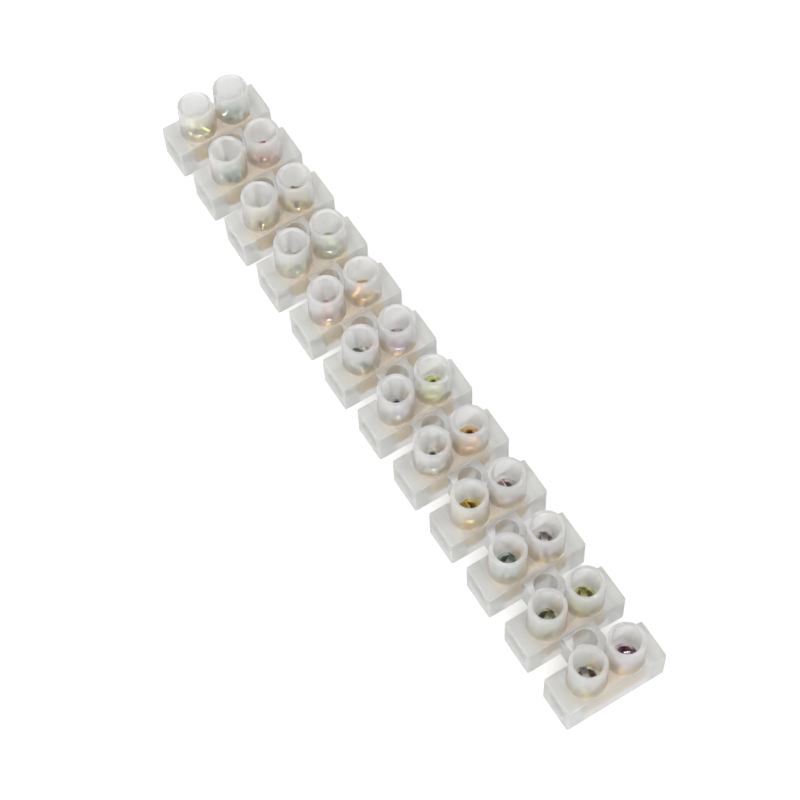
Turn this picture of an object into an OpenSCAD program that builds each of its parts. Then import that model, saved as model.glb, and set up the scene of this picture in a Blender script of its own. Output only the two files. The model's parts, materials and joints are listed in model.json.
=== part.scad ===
// Twelve-pole terminal strip with round screw turrets.
// One translucent polyethylene moulding holds a brass tube in each pole, and
// two slotted screws clamp the conductors that enter each tube from its ends.
//
// Frame: X along the strip, Y along the conductors, Z up.
// Origin: middle of the strip on its mounting face.

/* [Strip] */
// Number of poles
poles = 12; // [2:1:12]
// Distance from one pole to the next
pitch = 10; // [10:0.5:14]

/* [Brass tube] */
// Bore that takes the conductor
wire_d = 3.2; // [2.8:0.1:3.6]
// Width of the tube along the strip
tube_w = 4.7; // [4.4:0.1:6]
// Wall between the bore and the underside of the tube
tube_floor = 0.6; // [0.5:0.1:1.5]
// Threaded wall between the bore and the top of the tube
tube_roof = 1; // [1:0.1:2]
// Distance between the two tapped holes
screw_spacing = 6.3; // [6:0.1:9]
// Wall left between a tapped hole and the end of the tube
tube_end_wall = 0.45; // [0.4:0.05:2]
// Radius of the four long edges of the tube
tube_edge_r = 0.5; // [0.2:0.1:0.9]
// Chamfer at each mouth of the conductor bore
bore_chamfer = 0.25; // [0.1:0.05:0.3]

/* [Clamping screw] */
// Outside diameter of the thread
thread_d = 3; // [2.5:0.5:3.5]
// Diameter of the cylindrical head
head_d = 3.7; // [3.6:0.1:3.9]
// Height of the head
head_h = 1; // [0.9:0.1:2.5]
// Radius round the top edge of the head
head_edge_r = 0.3; // [0.1:0.05:0.5]
// Width of the driver slot
slot_w = 0.8; // [0.5:0.1:1.2]
// Depth of the driver slot
slot_depth = 0.6; // [0.4:0.1:0.8]
// Chamfer at the clamping tip
tip_chamfer = 0.4; // [0.1:0.1:0.6]
// Gap that the tip leaves to the round wall of an empty bore
tip_gap = 0.1; // [0.05:0.05:0.5]
// How far the most closed screw stands over its home as supplied
screw_lift = 0.05; // [0:0.05:1.5]

/* [Insulating housing] */
// Wall beside the tube
side_wall = 0.7; // [0.5:0.05:2]
// Wall under the tube
base_wall = 0.55; // [0.4:0.05:2]
// Wall over the tube
top_wall = 0.65; // [0.4:0.05:2]
// Depth of each conductor entry in front of the tube
entry_l = 3; // [2:0.1:6]
// Diameter of the conductor entry, wide enough for the insulation
entry_d = 4; // [3.8:0.1:4.4]
// Countersink at the mouth of the entry
entry_chamfer = 0.25; // [0.1:0.05:0.6]
// Radius on the upright edges of a block
block_corner_r = 0.3; // [0.1:0.05:0.6]
// Small radius on the lying edges of a block
block_edge_r = 0.12; // [0.04:0.02:0.12]

/* [Screw turrets] */
// Height of a turret over the block
turret_h = 6; // [4:0.5:9]
// Wall of a turret at its rim
turret_wall = 0.7; // [0.5:0.05:1.5]
// Widening of the turret's outside from rim to foot, on the radius
turret_draft = 0.12; // [0:0.02:0.3]
// Radius of the fillet at the foot of a turret
foot_r = 0.1; // [0.05:0.05:0.5]
// Radius on the rim, inside and outside
rim_r = 0.2; // [0.05:0.05:0.3]

/* [Fixing webs] */
// Width of the web that joins two blocks
web_w = 5.2; // [4.6:0.1:9]
// How far the web lies below the top of the blocks
web_drop = 0.3; // [0:0.1:1.5]
// Hole for a fixing screw in each web
fix_d = 3.4; // [2.5:0.1:3.6]

/* [Clearances] */
// Gap between the tube and each wall of its seat
tube_fit = 0.05; // [0.02:0.01:0.1]
// Gap between each end of the tube and its stop
tube_end_play = 0.1; // [0.05:0.05:0.3]
// Gap between the screw head and the wall of its well
head_fit = 0.2; // [0.1:0.05:0.4]
// Gap between the thread and the tapped hole
thread_fit = 0.03; // [0.02:0.01:0.05]

/* [Hidden] */
// Facets of a round wall, which stay true cylinders
round_fn = 48;
// Steps of a small rounded edge
edge_steps = 4;
// Overlap that keeps a cut clear of the face it opens
eps = 0.5;
// Degrees at which the driver slots were left, one pole after another
slot_turns = [
    [40, 150, 140, 110, 60, 170, 60, 60, 5, 120, 120, 160], // front screws
    [100, 130, 150, 60, 85, 20, 60, 50, 5, 150, 150, 70] // rear screws
];
// How much further than screw_lift each screw was left open, in the same order
further_open = [
    [0.05, 0.05, 0.1, 0, 0, 0.75, 0.7, 0.3, 0.75, 0.75, 0.55, 0.25],
    [0.45, 0.75, 0.8, 0.4, 0.25, 0, 0.75, 0.7, 0.55, 0.8, 0.55, 0.15]
];

wire_r = wire_d / 2;
entry_r = entry_d / 2;
thread_r = thread_d / 2;
head_r = head_d / 2;

// Brass tube, measured from the mounting face
tube_h = tube_floor + wire_d + tube_roof;
tube_l = screw_spacing + thread_d + 2 * tube_end_wall;
tube_z = base_wall + tube_fit;
tube_top = tube_z + tube_h;
wire_z = tube_z + tube_floor + wire_r;

// Seat of the tube in the block
seat_w = tube_w + 2 * tube_fit;
seat_h = tube_h + 2 * tube_fit;
seat_l = tube_l + 2 * tube_end_play;

// Block, turrets and webs
block_l = seat_w + 2 * side_wall;
block_h = base_wall + seat_h + top_wall;
strip_w = seat_l + 2 * entry_l;
well_r = head_r + head_fit;
turret_r = well_r + turret_wall;
turret_foot_r = turret_r + turret_draft;
web_h = block_h - web_drop;

// Screw, whose chamfered tip stops short of the round bore wall below it
shank_r = thread_r - thread_fit;
tip_r = shank_r - tip_chamfer;
tip_reach = min(
    sqrt(wire_r * wire_r - tip_r * tip_r),
    sqrt(wire_r * wire_r - shank_r * shank_r) + tip_chamfer
) - tip_gap;
shank_l = tube_roof + wire_r + tip_reach;

sides = ["front", "rear"];

// Pole and side numbers as a person reads them
function two(i) = i < 10 ? str("0", i) : str(i);
function tube_name(i) = str("contact_tube_", two(i));
function screw_name(i, s) = str("screw_", two(i), "_", sides[s]);

// Middle of pole i along the strip
function pole_x(i) = (i - (poles + 1) / 2) * pitch;
// Turret axis of side s across the strip
function screw_y(s) = (s == 0 ? -1 : 1) * screw_spacing / 2;
// Each screw was left at its own height, with its driver slot at its own angle
function screw_z(i, s) =
    tube_top + screw_lift + further_open[s][(i - 1) % len(further_open[s])];
function slot_angle(i, s) = slot_turns[s][(i - 1) % len(slot_turns[s])];

// Points of an arc from angle a0 to a1
function arc(cx, cy, r, a0, a1) = [
    for (k = [0:edge_steps])
        let (a = a0 + (a1 - a0) * k / edge_steps)
        [cx + r * cos(a), cy + r * sin(a)]
];

// Outline of a w by h rectangle with rounded corners, centred on the origin
function rounded_rect(w, h, r) = let (x = w / 2 - r, y = h / 2 - r) concat(
    arc(x, y, r, 0, 90),
    arc(-x, y, r, 90, 180),
    arc(-x, -y, r, 180, 270),
    arc(x, -y, r, 270, 360)
);

// A section in X and Z, drawn about its own middle, carried along Y
module along_y(length, z) {
    translate([0, length / 2, z])
        rotate([90, 0, 0])
            linear_extrude(length)
                children();
}

// ---------------------------------------------------------------- housing

// Solid body of one block, before anything is cut from it
module block_body() {
    intersection() {
        linear_extrude(block_h)
            polygon(rounded_rect(block_l, strip_w, block_corner_r));
        along_y(strip_w + 2 * eps, block_h / 2)
            polygon(rounded_rect(block_l, block_h, block_edge_r));
        translate([-block_l / 2 - eps, 0, block_h / 2])
            rotate([90, 0, 90])
                linear_extrude(block_l + 2 * eps)
                    polygon(rounded_rect(strip_w, block_h, block_edge_r));
    }
}

// Drafted turret with a filleted foot and a rounded rim
module turret_body() {
    rim_z = turret_h - rim_r;
    rotate_extrude($fn = round_fn)
        polygon(concat(
            [[0, -top_wall / 2], [turret_foot_r + foot_r, -top_wall / 2]],
            arc(turret_foot_r + foot_r, foot_r, foot_r, 270, 180),
            arc(turret_r - rim_r, rim_z, rim_r, 0, 90),
            [[0, turret_h]]
        ));
}

// Screw well: a straight bore down to the tube, eased at the rim
module screw_well() {
    top = block_h + turret_h;
    translate([0, 0, tube_top - tube_fit])
        cylinder(r = well_r, h = top - tube_top + eps, $fn = round_fn);
    translate([0, 0, top])
        rotate_extrude($fn = round_fn)
            polygon(concat(
                [[0, -rim_r]],
                arc(well_r + rim_r, -rim_r, rim_r, 180, 90),
                [[well_r + rim_r, eps], [0, eps]]
            ));
}

// Countersunk round entry at both ends, and the seat of the tube between them
module conductor_way() {
    along_y(strip_w + 2 * eps, wire_z)
        circle(r = entry_r, $fn = round_fn);
    along_y(seat_l, tube_z + tube_h / 2)
        polygon(rounded_rect(seat_w, seat_h, tube_edge_r + tube_fit));
    for (s = [-1, 1])
        translate([0, s * strip_w / 2, wire_z])
            rotate([-90 * s, 0, 0])
                translate([0, 0, -entry_chamfer])
                    cylinder(
                        r1 = entry_r,
                        r2 = entry_r + entry_chamfer + eps,
                        h = entry_chamfer + eps,
                        $fn = round_fn
                    );
}

// The solid of one pole: a block and its two turrets
module pole_body() {
    block_body();
    for (s = [0, 1])
        translate([0, screw_y(s), block_h])
            turret_body();
}

// Everything that one pole has cut out of it
module pole_cuts() {
    conductor_way();
    for (s = [0, 1])
        translate([0, screw_y(s), 0])
            screw_well();
}

// Webs between the blocks, each reaching a little into its neighbours' walls
module webs() {
    root = side_wall / 2;
    for (i = [1:poles - 1])
        translate([pole_x(i) + block_l / 2 - root, -web_w / 2, 0])
            cube([pitch - block_l + 2 * root, web_w, web_h]);
}

module fixing_holes() {
    for (i = [1:poles - 1])
        translate([pole_x(i) + pitch / 2, 0, -eps])
            cylinder(d = fix_d, h = web_h + 2 * eps, $fn = round_fn);
}

module housing() {
    color([0.86, 0.87, 0.86, 0.6])
        difference() {
            union() {
                for (i = [1:poles])
                    translate([pole_x(i), 0, 0])
                        pole_body();
                webs();
            }
            for (i = [1:poles])
                translate([pole_x(i), 0, 0])
                    pole_cuts();
            fixing_holes();
        }
}

// ------------------------------------------------------------ brass tubes

module contact_tube(i) {
    color("goldenrod")
        translate([pole_x(i), 0, 0])
            difference() {
                along_y(tube_l, tube_z + tube_h / 2)
                    polygon(rounded_rect(tube_w, tube_h, tube_edge_r));
                along_y(tube_l + 2 * eps, wire_z)
                    circle(r = wire_r, $fn = round_fn);
                for (s = [-1, 1])
                    translate([0, s * tube_l / 2, wire_z])
                        rotate([-90 * s, 0, 0])
                            translate([0, 0, -bore_chamfer])
                                cylinder(
                                    r1 = wire_r,
                                    r2 = wire_r + bore_chamfer + eps,
                                    h = bore_chamfer + eps,
                                    $fn = round_fn
                                );
                for (s = [0, 1])
                    translate([0, screw_y(s), wire_z])
                        cylinder(r = thread_r, h = tube_h, $fn = round_fn);
            }
}

// ---------------------------------------------------------------- screws

// Slotted cheese-head screw with its head's underside at the origin
module screw_body() {
    difference() {
        rotate_extrude($fn = round_fn)
            polygon(concat(
                [
                    [0, -shank_l],
                    [tip_r, -shank_l],
                    [shank_r, tip_chamfer - shank_l],
                    [shank_r, 0],
                    [head_r, 0]
                ],
                arc(head_r - head_edge_r, head_h - head_edge_r, head_edge_r, 0, 90),
                [[0, head_h]]
            ));
        translate([-head_d / 2 - eps, -slot_w / 2, head_h - slot_depth])
            cube([head_d + 2 * eps, slot_w, slot_depth + eps]);
    }
}

module screw(i, s) {
    color("silver")
        translate([pole_x(i), screw_y(s), screw_z(i, s)])
            rotate([0, 0, slot_angle(i, s)])
                screw_body();
}

housing();
for (i = [1:poles])
    contact_tube(i);
for (i = [1:poles], s = [0, 1])
    screw(i, s);
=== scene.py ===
import json
import math

import bmesh
import bpy
from mathutils import Matrix, Vector

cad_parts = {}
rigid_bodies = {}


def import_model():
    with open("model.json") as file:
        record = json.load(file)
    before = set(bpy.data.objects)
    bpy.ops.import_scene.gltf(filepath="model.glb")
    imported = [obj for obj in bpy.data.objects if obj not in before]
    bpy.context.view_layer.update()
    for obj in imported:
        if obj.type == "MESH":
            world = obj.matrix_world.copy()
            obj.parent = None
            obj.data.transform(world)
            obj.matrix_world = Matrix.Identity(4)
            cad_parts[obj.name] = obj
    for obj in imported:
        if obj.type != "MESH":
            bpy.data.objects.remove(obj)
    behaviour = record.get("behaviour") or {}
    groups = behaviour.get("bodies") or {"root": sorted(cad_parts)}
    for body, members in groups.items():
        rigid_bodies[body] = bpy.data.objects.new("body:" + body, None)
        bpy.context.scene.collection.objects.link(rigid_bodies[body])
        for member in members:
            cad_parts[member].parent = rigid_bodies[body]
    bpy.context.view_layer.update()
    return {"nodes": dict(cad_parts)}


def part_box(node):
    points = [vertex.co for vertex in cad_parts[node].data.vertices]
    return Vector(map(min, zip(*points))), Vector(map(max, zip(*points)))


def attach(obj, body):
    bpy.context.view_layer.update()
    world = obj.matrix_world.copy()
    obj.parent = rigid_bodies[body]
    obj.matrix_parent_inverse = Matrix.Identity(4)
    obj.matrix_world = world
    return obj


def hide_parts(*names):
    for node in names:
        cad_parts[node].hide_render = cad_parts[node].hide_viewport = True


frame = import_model()

MM = 0.001
nodes = frame["nodes"]
POLES = sum(1 for n in nodes if n.startswith("contact_tube_"))
SIDES = ("front", "rear")

# Degrees from +X at which each driver slot was left, the same as in the solids
SLOT_TURNS = (
    (40, 150, 140, 110, 60, 170, 60, 60, 5, 120, 120, 160),
    (100, 130, 150, 60, 85, 20, 60, 50, 5, 150, 150, 70),
)

# ------------------------------------------------------------------ camera

cam = bpy.data.cameras.new("camera")
cam.sensor_fit = "HORIZONTAL"
cam.sensor_width = 36.0
cam.lens = 99.405
cam.clip_start = 0.01
cam.clip_end = 10.0
camera = bpy.data.objects.new("camera", cam)
bpy.context.scene.collection.objects.link(camera)
CAM_AT = Vector((139.728, -75.841, 293.408)) * MM
CAM_TO = Vector((3.941, -1.944, 6.1)) * MM
ROLL = math.radians(-3.496)
back = (CAM_AT - CAM_TO).normalized()
level = Vector((0, 0, 1)).cross(back).normalized()
upright = back.cross(level)
right = math.cos(ROLL) * level + math.sin(ROLL) * upright
up = -math.sin(ROLL) * level + math.cos(ROLL) * upright
pose = Matrix((right, up, back)).transposed().to_4x4()
pose.translation = CAM_AT
camera.matrix_world = pose
bpy.context.scene.camera = camera
bpy.context.scene.view_settings.view_transform = "Standard"


# ------------------------------------------------------------ node helpers

def srgb(r, g, b):
    """A colour written in sRGB steps of 255, as linear RGBA."""
    def lin(c):
        c = c / 255.0
        return c / 12.92 if c <= 0.04045 else ((c + 0.055) / 1.055) ** 2.4
    return (lin(r), lin(g), lin(b), 1.0)


class Mat:
    """A node material under construction."""

    def __init__(self, name):
        self.mat = bpy.data.materials.new(name)
        self.mat.use_nodes = True
        self.nt = self.mat.node_tree
        self.nt.nodes.clear()
        self.out = self.add("ShaderNodeOutputMaterial")

    def add(self, kind, **values):
        """A new node with the given properties set."""
        n = self.nt.nodes.new(kind)
        for k, v in values.items():
            setattr(n, k, v)
        return n

    def link(self, a, b):
        self.nt.links.new(a, b)

    def coords(self, scale=(1, 1, 1)):
        """The piece's own coordinates in metres, times a scale."""
        tc = self.add("ShaderNodeTexCoord")
        mp = self.add("ShaderNodeMapping")
        mp.inputs["Scale"].default_value = scale
        self.link(tc.outputs["Object"], mp.inputs["Vector"])
        return mp.outputs["Vector"]

    def noise(self, vector, scale, detail=3.0, rough=0.5, distortion=0.0):
        """Soft noise from 0 to 1, with scale in cells for each metre."""
        n = self.add("ShaderNodeTexNoise")
        n.inputs["Scale"].default_value = scale
        n.inputs["Detail"].default_value = detail
        n.inputs["Roughness"].default_value = rough
        n.inputs["Distortion"].default_value = distortion
        self.link(vector, n.inputs["Vector"])
        return n.outputs["Fac"]

    def ramp(self, fac, stops):
        """Colours between (position, colour) stops."""
        n = self.add("ShaderNodeValToRGB")
        e = n.color_ramp.elements
        while len(e) < len(stops):
            e.new(0.5)
        for el, (pos, col) in zip(e, stops):
            el.position = pos
            el.color = col
        self.link(fac, n.inputs["Fac"])
        return n.outputs["Color"]

    def grey(self, fac, stops):
        """Numbers between (position, number) stops."""
        return self.ramp(fac, [(pos, (v, v, v, 1)) for pos, v in stops])

    def span(self, fac, a, b, lo, hi):
        """Takes a to b over to lo to hi, and clamps beyond."""
        n = self.add("ShaderNodeMapRange")
        n.inputs["From Min"].default_value = a
        n.inputs["From Max"].default_value = b
        n.inputs["To Min"].default_value = lo
        n.inputs["To Max"].default_value = hi
        self.link(fac, n.inputs["Value"])
        return n.outputs["Result"]

    def math(self, op, a, b):
        """One operation on two numbers or node outputs."""
        n = self.add("ShaderNodeMath", operation=op)
        for s, v in ((n.inputs[0], a), (n.inputs[1], b)):
            if isinstance(v, (int, float)):
                s.default_value = v
            else:
                self.link(v, s)
        return n.outputs["Value"]

    def bump(self, height, distance, strength=1.0, under=None):
        """A normal pushed by height, on top of another bump if given."""
        n = self.add("ShaderNodeBump")
        n.inputs["Strength"].default_value = strength
        n.inputs["Distance"].default_value = distance
        self.link(height, n.inputs["Height"])
        if under is not None:
            self.link(under, n.inputs["Normal"])
        return n.outputs["Normal"]

    def principled(self, **values):
        """The surface shader, with numbers set on its own sockets."""
        n = self.add("ShaderNodeBsdfPrincipled")
        for k, v in values.items():
            n.inputs[k.replace("_", " ")].default_value = v
        self.link(n.outputs["BSDF"], self.out.inputs["Surface"])
        return n


# --------------------------------------------------------------- materials

PITCH = 10 * MM
TOP = 12.1 * MM  # the strip's overall height
# How much of the light goes through a wall, and how rough it looks, by its height
# as a share of the strip's: clearest in the lower half of the turrets
WALLS = ((0.42, 0.76), (0.5, 0.72), (0.57, 0.92), (0.7, 0.89), (0.86, 0.7))
CLARITY = ((0.49, 0.36), (0.56, 0.285), (0.7, 0.285), (0.86, 0.36))
# Where the plastic is thick: its share of a thin wall's clearness, and its colour
# there, darkened as painted shade
THICK = 0.8
PAINTED_SHADE_THICK = (220, 220, 218)
THIN = (254, 254, 253)


def polyethylene():
    """Natural polyethylene: milky, lets a blurred view through, satin skin."""
    k = Mat("polyethylene_natural")
    p = k.principled(
        IOR=1.08,
        Subsurface_Weight=1.0,
        Subsurface_Radius=(1.0, 0.98, 0.94),
        Subsurface_Scale=1.8 * MM,
        Subsurface_Anisotropy=0.2,
    )
    at = k.coords()
    flow = k.noise(at, 130.0, detail=3.0, distortion=0.6)
    # Walls round the tube and the screws are thin, the block ends and the webs thick
    place = k.add("ShaderNodeSeparateXYZ")
    k.link(k.coords(), place.inputs["Vector"])
    from_middle = k.math("ABSOLUTE", place.outputs["Y"], 0.0)
    ends = k.span(from_middle, 5.0 * MM, 6.4 * MM, 1.0, THICK)
    along = k.math("SUBTRACT", place.outputs["X"], PITCH / 2)
    from_pole = k.math("PINGPONG", along, PITCH / 2)
    webs = k.span(from_pole, 3.0 * MM, 3.3 * MM, 1.0, THICK)
    thin = k.math("MULTIPLY", ends, webs)
    height = k.math("MULTIPLY", place.outputs["Z"], 1 / TOP)
    clear = k.math("MULTIPLY", thin, k.grey(height, WALLS))
    k.link(clear, p.inputs["Transmission Weight"])
    k.link(k.grey(height, CLARITY), p.inputs["Roughness"])
    # Painted shade in the base colour: darker where the plastic is thick, at the block
    # ends and the webs, with a random unevenness on top
    uneven = k.math("MULTIPLY", k.math("SUBTRACT", flow, 0.5), 0.2)
    tone_and_painted_shade = k.math("ADD", thin, uneven)
    k.link(
        k.ramp(tone_and_painted_shade, [(0.82, srgb(*PAINTED_SHADE_THICK)), (1.0, srgb(*THIN))]),
        p.inputs["Base Color"],
    )
    skin = k.bump(k.noise(at, 5200.0, detail=2.0), 0.012 * MM, 0.6)
    skin = k.bump(flow, 0.05 * MM, 0.5, skin)
    k.link(skin, p.inputs["Normal"])
    return k.mat


def brass():
    """Bare drawn brass with fine lines along the tube and a little tarnish."""
    k = Mat("brass_drawn")
    p = k.principled(Metallic=1.0)
    along = k.coords(scale=(1.0, 0.03, 1.0))
    lines = k.noise(along, 9000.0, detail=3.0, rough=0.6)
    stain = k.noise(k.coords(), 380.0, detail=4.0, distortion=0.8)
    mix = k.math(
        "ADD", k.math("MULTIPLY", lines, 0.45), k.math("MULTIPLY", stain, 0.55)
    )
    k.link(
        k.ramp(mix, [
            (0.34, srgb(228, 188, 112)),
            (0.52, srgb(244, 214, 146)),
            (0.68, srgb(250, 228, 170)),
        ]),
        p.inputs["Base Color"],
    )
    k.link(k.span(stain, 0.3, 0.7, 0.22, 0.42), p.inputs["Roughness"])
    k.link(k.bump(lines, 0.006 * MM, 0.7), p.inputs["Normal"])
    return k.mat


# Tints that the thin passivated zinc layer shows, from the low to the high end of its
# noise
TINTS = {
    "yellow_green": ((150, 112, 70), (226, 228, 160), (250, 246, 216)),
    "navy_green": ((70, 82, 120), (176, 206, 176), (238, 240, 232)),
    "mint_yellow": ((120, 132, 128), (206, 222, 206), (246, 240, 194)),
    "magenta": ((120, 62, 70), (196, 150, 146), (240, 228, 216)),
    "grey_green": ((104, 116, 112), (196, 210, 198), (250, 246, 226)),
    "steel": ((96, 100, 106), (196, 200, 206), (244, 244, 240)),
    "gold": ((150, 128, 52), (222, 208, 112), (250, 226, 140)),
    "mint_plum": ((110, 76, 98), (166, 200, 180), (214, 226, 206)),
    "olive_brown": ((110, 84, 66), (184, 194, 156), (226, 232, 212)),
    "mixed": ((136, 96, 70), (196, 206, 206), (234, 236, 170)),
    "copper_pink": ((150, 96, 76), (216, 170, 146), (246, 228, 220)),
    "orange": ((166, 104, 60), (232, 184, 108), (250, 226, 178)),
    "lime": ((112, 130, 84), (214, 224, 134), (244, 246, 196)),
    "mauve_brown": ((96, 68, 66), (190, 168, 180), (240, 232, 238)),
    "white_copper": ((170, 104, 76), (214, 220, 218), (250, 248, 242)),
    "pink_grey": ((118, 92, 84), (206, 204, 204), (248, 232, 224)),
}
FRONT = ("yellow_green", "navy_green", "yellow_green", "mint_yellow", "magenta",
         "grey_green", "steel", "grey_green", "gold", "mint_plum", "olive_brown",
         "mixed")
REAR = ("navy_green", "copper_pink", "yellow_green", "olive_brown", "orange",
        "mauve_brown", "lime", "orange", "pink_grey", "white_copper", "lime",
        "mauve_brown")


def plated(tint):
    """Zinc plating with an iridescent passivation, in one of the tints above."""
    low, mid, high = TINTS[tint]
    k = Mat("zinc_" + tint)
    p = k.principled(Metallic=1.0, Roughness=0.1)
    at = k.coords()
    film = k.noise(at, 560.0, detail=1.5, distortion=1.0)
    k.link(
        k.ramp(film, [(0.3, srgb(*low)), (0.44, srgb(*mid)), (0.6, srgb(*high))]),
        p.inputs["Base Color"],
    )
    grit = k.noise(at, 4200.0, detail=3.0)
    rings = k.add("ShaderNodeTexWave", wave_type="RINGS", rings_direction="Z")
    rings.inputs["Scale"].default_value = 1500.0
    rings.inputs["Distortion"].default_value = 0.8
    rings.inputs["Detail"].default_value = 1.0
    k.link(at, rings.inputs["Vector"])
    turned = k.bump(rings.outputs["Fac"], 0.002 * MM, 0.35)
    k.link(k.bump(grit, 0.003 * MM, 0.4, turned), p.inputs["Normal"])
    return k.mat


# ------------------------------------------------------------------ screws

# Sizes in mm. Head, slot, crest and tip have the sizes of the solids
HEAD_H = 1.0
HEAD_EDGE = 0.3  # radius round the top edge of the head
SLOT_W, SLOT_D = 0.8, 0.6
CREST_R = 1.47
TIP = 0.4  # chamfer at the end of the thread
LEAD = 0.5
THREAD_DEPTH = 0.6134 * LEAD  # of a full metric thread
NECK = 0.35  # plain length under the head
RUN_OUT = 0.25  # length in which the thread fades into the neck
# One turn of the thread from root to root: (share of the lead, share of the depth)
PROFILE = (
    (0.0, 0.0), (0.125, 0.0), (0.3125, 0.5), (0.5, 1.0), (0.625, 1.0), (0.8125, 0.5),
)
# The cone of a head's top, which mirrors the dark opening to the camera
DISH = math.tan(math.radians(8.5))
OVERLAP = 0.2  # how far the neck stands inside the head before they are joined
SEAT_GAP = 0.01  # so that a head that is home shares no plane with the tube


def lathe(bm, outline, segments):
    """Faces of a closed outline of (r, z) points turned about Z, in mm."""
    rings = []
    for r, z in outline:
        if r < 1e-9:
            rings.append([bm.verts.new((0, 0, z))])
        else:
            rings.append([
                bm.verts.new((r * math.cos(a), r * math.sin(a), z))
                for a in (2 * math.pi * i / segments for i in range(segments))
            ])
    for a, b in zip(rings, rings[1:]):
        for i in range(segments):
            j = (i + 1) % segments
            if len(a) == 1:
                bm.faces.new((a[0], b[j], b[i]))
            elif len(b) == 1:
                bm.faces.new((a[i], a[j], b[0]))
            else:
                bm.faces.new((a[i], a[j], b[j], b[i]))


def placed(bm, name):
    """An object in the scene made from the bmesh, which is freed."""
    mesh = bpy.data.meshes.new(name)
    bm.to_mesh(mesh)
    bm.free()
    obj = bpy.data.objects.new(name, mesh)
    bpy.context.scene.collection.objects.link(obj)
    return obj


def combined(obj, operation, tool):
    """Adds an exact boolean with the tool object to obj's modifiers."""
    mod = obj.modifiers.new(operation.lower(), "BOOLEAN")
    mod.operation = operation
    mod.solver = "EXACT"
    mod.object = tool


def clean(bm):
    """Merges points that coincide and drops the faces that this leaves flat."""
    bmesh.ops.remove_doubles(bm, verts=bm.verts, dist=1e-4)
    bmesh.ops.dissolve_degenerate(bm, edges=bm.edges, dist=1e-5)


def evaluated(obj):
    """A new mesh with the object's modifiers applied."""
    bpy.context.view_layer.update()
    dg = bpy.context.evaluated_depsgraph_get()
    return bpy.data.meshes.new_from_object(obj.evaluated_get(dg))


def cheese_head(radius):
    """Head of the screw, its underside at z 0, its slot along X."""
    chamfer, steps, rings = 0.06, 6, 8
    dish_r = radius - HEAD_EDGE - 0.08
    inner, shoulder = radius - HEAD_EDGE, HEAD_H - HEAD_EDGE
    outline = [(0, 0), (radius - chamfer, 0), (radius, chamfer), (radius, shoulder)]
    for i in range(1, steps + 1):
        a = math.pi / 2 * i / steps
        outline.append((
            inner + HEAD_EDGE * math.cos(a), shoulder + HEAD_EDGE * math.sin(a)
        ))
    for i in range(rings, -1, -1):
        r = dish_r * i / rings
        # Its middle is rounded over 0.15 mm
        outline.append((r, HEAD_H - DISH * (dish_r - math.hypot(r, 0.15) + 0.01)))
    bm = bmesh.new()
    lathe(bm, outline, 72)
    head = placed(bm, "head")
    bm = bmesh.new()
    bmesh.ops.create_cube(bm, size=1.0)
    for v in bm.verts:
        v.co.x *= 2 * radius + 1
        v.co.y *= SLOT_W
        v.co.z = HEAD_H - SLOT_D if v.co.z < 0 else HEAD_H + 1
    combined(head, "DIFFERENCE", placed(bm, "slot_tool"))
    bev = head.modifiers.new("bevel", "BEVEL")
    bev.width = 0.035
    bev.segments = 2
    bev.limit_method = "ANGLE"
    bev.angle_limit = math.radians(50)
    return head


def threaded_shank(length):
    """Helical thread down to z -length, its neck standing inside the head."""
    around = 48
    bm = bmesh.new()

    def envelope(z):
        """Largest radius at z: the chamfered tip, the thread, its run-out, the neck."""
        r = CREST_R
        if z < TIP - length:
            r = CREST_R - (TIP - length - z)
        if z > -NECK:
            r = min(r, CREST_R - THREAD_DEPTH)
        elif z > -NECK - RUN_OUT:
            r = min(r, CREST_R - THREAD_DEPTH * (1 - (-NECK - z) / RUN_OUT))
        return r

    turns = int(length / LEAD) + 3
    columns = []
    for j in range(around):
        a = 2 * math.pi * j / around
        col = []
        for t in range(-1, turns):
            for u, d in PROFILE:
                z = -length + LEAD * (t + u + j / around) - LEAD
                z = max(-length, min(OVERLAP, z))
                r = min(CREST_R - THREAD_DEPTH * d, envelope(z))
                col.append(bm.verts.new((r * math.cos(a), r * math.sin(a), z)))
        columns.append(col)
    rows = len(columns[0])
    for j in range(around):
        here, there = columns[j], columns[(j + 1) % around]
        # After a full turn the helix has risen by one profile
        shift = len(PROFILE) if j == around - 1 else 0
        for i in range(rows - 1 - shift):
            quad = (here[i], there[i + shift], there[i + 1 + shift], here[i + 1])
            bm.faces.new(quad)
    clean(bm)
    for level in (-length, OVERLAP):
        cap = [v for v in bm.verts if abs(v.co.z - level) < 1e-4]
        cap.sort(key=lambda v: math.atan2(v.co.y, v.co.x))
        bm.faces.new(cap)
    bmesh.ops.recalc_face_normals(bm, faces=bm.faces)
    return placed(bm, "shank")


def screw_mesh(diameter, height):
    """Whole screw as one closed shell, its seat at z 0, from the CAD box's sizes."""
    before = set(bpy.data.objects)
    head = cheese_head(diameter / 2)
    combined(head, "UNION", threaded_shank(height - HEAD_H))
    bm = bmesh.new()
    bm.from_mesh(evaluated(head))
    clean(bm)
    for obj in set(bpy.data.objects) - before:
        bpy.data.objects.remove(obj)
    for f in bm.faces:
        f.smooth = True
    for e in bm.edges:
        if len(e.link_faces) == 2 and e.calc_face_angle(0) > math.radians(38):
            e.smooth = False
    mesh = bpy.data.meshes.new("screw")
    bm.to_mesh(mesh)
    bm.free()
    mesh.transform(Matrix.Scale(MM, 4))
    return mesh


low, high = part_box("screw_01_front")
size = (high - low) / MM
master = screw_mesh(size.y, size.z)

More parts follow.
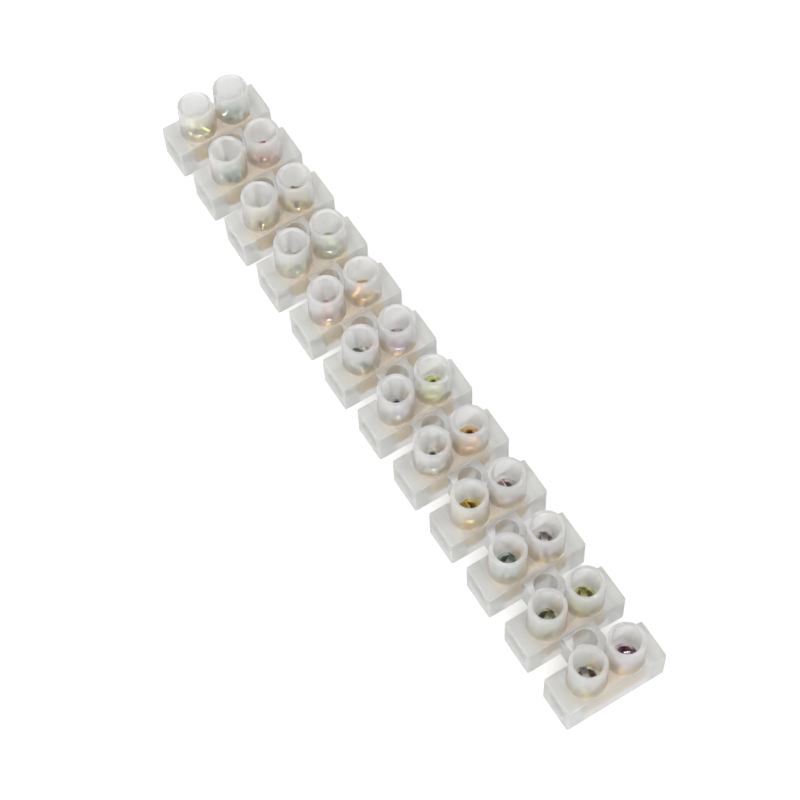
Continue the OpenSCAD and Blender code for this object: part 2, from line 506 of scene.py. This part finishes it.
finishes = {}
for i in range(1, POLES + 1):
    for s, side in enumerate(SIDES):
        node = "screw_%02d_%s" % (i, side)
        low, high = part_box(node)
        mesh = master.copy()
        mesh.name = node + "_threaded"
        piece = bpy.data.objects.new(node + "_threaded", mesh)
        bpy.context.scene.collection.objects.link(piece)
        seat = high.z - (HEAD_H - SEAT_GAP) * MM
        piece.location = ((low.x + high.x) / 2, (low.y + high.y) / 2, seat)
        piece.rotation_euler = (0, 0, math.radians(SLOT_TURNS[s][i - 1]))
        tint = (FRONT, REAR)[s][i - 1]
        if tint not in finishes:
            finishes[tint] = plated(tint)
        mesh.materials.clear()
        mesh.materials.append(finishes[tint])
        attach(piece, node)
        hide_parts(node)


# ------------------------------------------------- housing and brass tubes

def dress(obj, material):
    """Gives a CAD node its material and joins its split corners."""
    obj.data.materials.clear()
    obj.data.materials.append(material)
    weld = obj.modifiers.new("weld", "WELD")
    weld.merge_threshold = 1e-6


dress(nodes["housing"], polyethylene())
tube_brass = brass()
for i in range(1, POLES + 1):
    dress(nodes["contact_tube_%02d" % i], tube_brass)

# ------------------------------------------------------------------- stage

bm = bmesh.new()
bmesh.ops.create_grid(bm, x_segments=1, y_segments=1, size=1.6)
floor = placed(bm, "floor")
# What the floor scatters, what it adds for the camera, and how bright its plain
# white is in plastic and metal
PAPER, LIFT, BACKDROP = 0.93, 0.06, 0.72
k = Mat("floor_paper")
paper = k.add("ShaderNodeBsdfDiffuse")
paper.inputs["Color"].default_value = (PAPER, PAPER, PAPER, 1)
lift = k.add("ShaderNodeEmission")
ray = k.add("ShaderNodeLightPath")
k.link(k.math("MULTIPLY", ray.outputs["Is Camera Ray"], LIFT), lift.inputs["Strength"])
both = k.add("ShaderNodeAddShader")
k.link(paper.outputs["BSDF"], both.inputs[0])
k.link(lift.outputs["Emission"], both.inputs[1])
# Plastic and metal show the floor as plain white, without the strip's own shadow
backdrop = k.add("ShaderNodeEmission")
backdrop.inputs["Strength"].default_value = BACKDROP
pick = k.add("ShaderNodeMixShader")
seen = k.math(
    "MAXIMUM", ray.outputs["Is Glossy Ray"], ray.outputs["Is Transmission Ray"]
)
k.link(seen, pick.inputs["Fac"])
k.link(both.outputs["Shader"], pick.inputs[1])
k.link(backdrop.outputs["Emission"], pick.inputs[2])
k.link(pick.outputs["Shader"], k.out.inputs["Surface"])
floor.data.materials.append(k.mat)


# World: an even light tent, and for mirror rays alone a dark opening that the heads
# of the screws reflect to the camera. It fades out between two angles in degrees
OPENING = (0.085, 0.045, 0.05, 1)
FADE_FROM, FADE_TO = 30, 46
WHITE = (1.0, 1.0, 1.0, 1)
world = bpy.data.worlds.new("studio")
bpy.context.scene.world = world
world.use_nodes = True
wt = world.node_tree
wt.nodes.clear()


def wnode(kind, **values):
    """A new node of the world with the given properties set."""
    n = wt.nodes.new(kind)
    for key, v in values.items():
        setattr(n, key, v)
    return n


sky = wnode("ShaderNodeTexCoord")
mirror = Vector((-back.x, -back.y, back.z)).normalized()
dot = wnode("ShaderNodeVectorMath", operation="DOT_PRODUCT")
dot.inputs[1].default_value = mirror
wt.links.new(sky.outputs["Generated"], dot.inputs[0])
tent = wnode("ShaderNodeValToRGB")
tent.color_ramp.elements[0].position = math.cos(math.radians(FADE_TO))
tent.color_ramp.elements[0].color = WHITE
tent.color_ramp.elements[1].position = math.cos(math.radians(FADE_FROM))
tent.color_ramp.elements[1].color = OPENING
wt.links.new(dot.outputs["Value"], tent.inputs["Fac"])
light = wnode("ShaderNodeBackground")
wt.links.new(tent.outputs["Color"], light.inputs["Color"])
plain = wnode("ShaderNodeBackground")
plain.inputs["Color"].default_value = WHITE
path = wnode("ShaderNodeLightPath")
pick = wnode("ShaderNodeMixShader")
wt.links.new(path.outputs["Is Glossy Ray"], pick.inputs["Fac"])
wt.links.new(plain.outputs["Background"], pick.inputs[1])
wt.links.new(light.outputs["Background"], pick.inputs[2])
wout = wnode("ShaderNodeOutputWorld")
wt.links.new(pick.outputs["Shader"], wout.inputs["Surface"])


def softbox(name, at, to, size, watts):
    """A round lamp at one point, turned to another, of a size in metres."""
    lamp = bpy.data.lights.new(name, "AREA")
    lamp.shape = "DISK"
    lamp.size = size
    lamp.energy = watts
    o = bpy.data.objects.new(name, lamp)
    bpy.context.scene.collection.objects.link(o)
    at, to = Vector(at), Vector(to)
    o.location = at
    o.rotation_euler = (at - to).to_track_quat("Z", "Y").to_euler()


softbox("key", (-0.35, -0.65, 0.5), (0, 0, 0), 0.4, 1.4)
softbox("top", (0.26, -0.14, 0.76), (0, 0, 0), 0.34, 2.9)
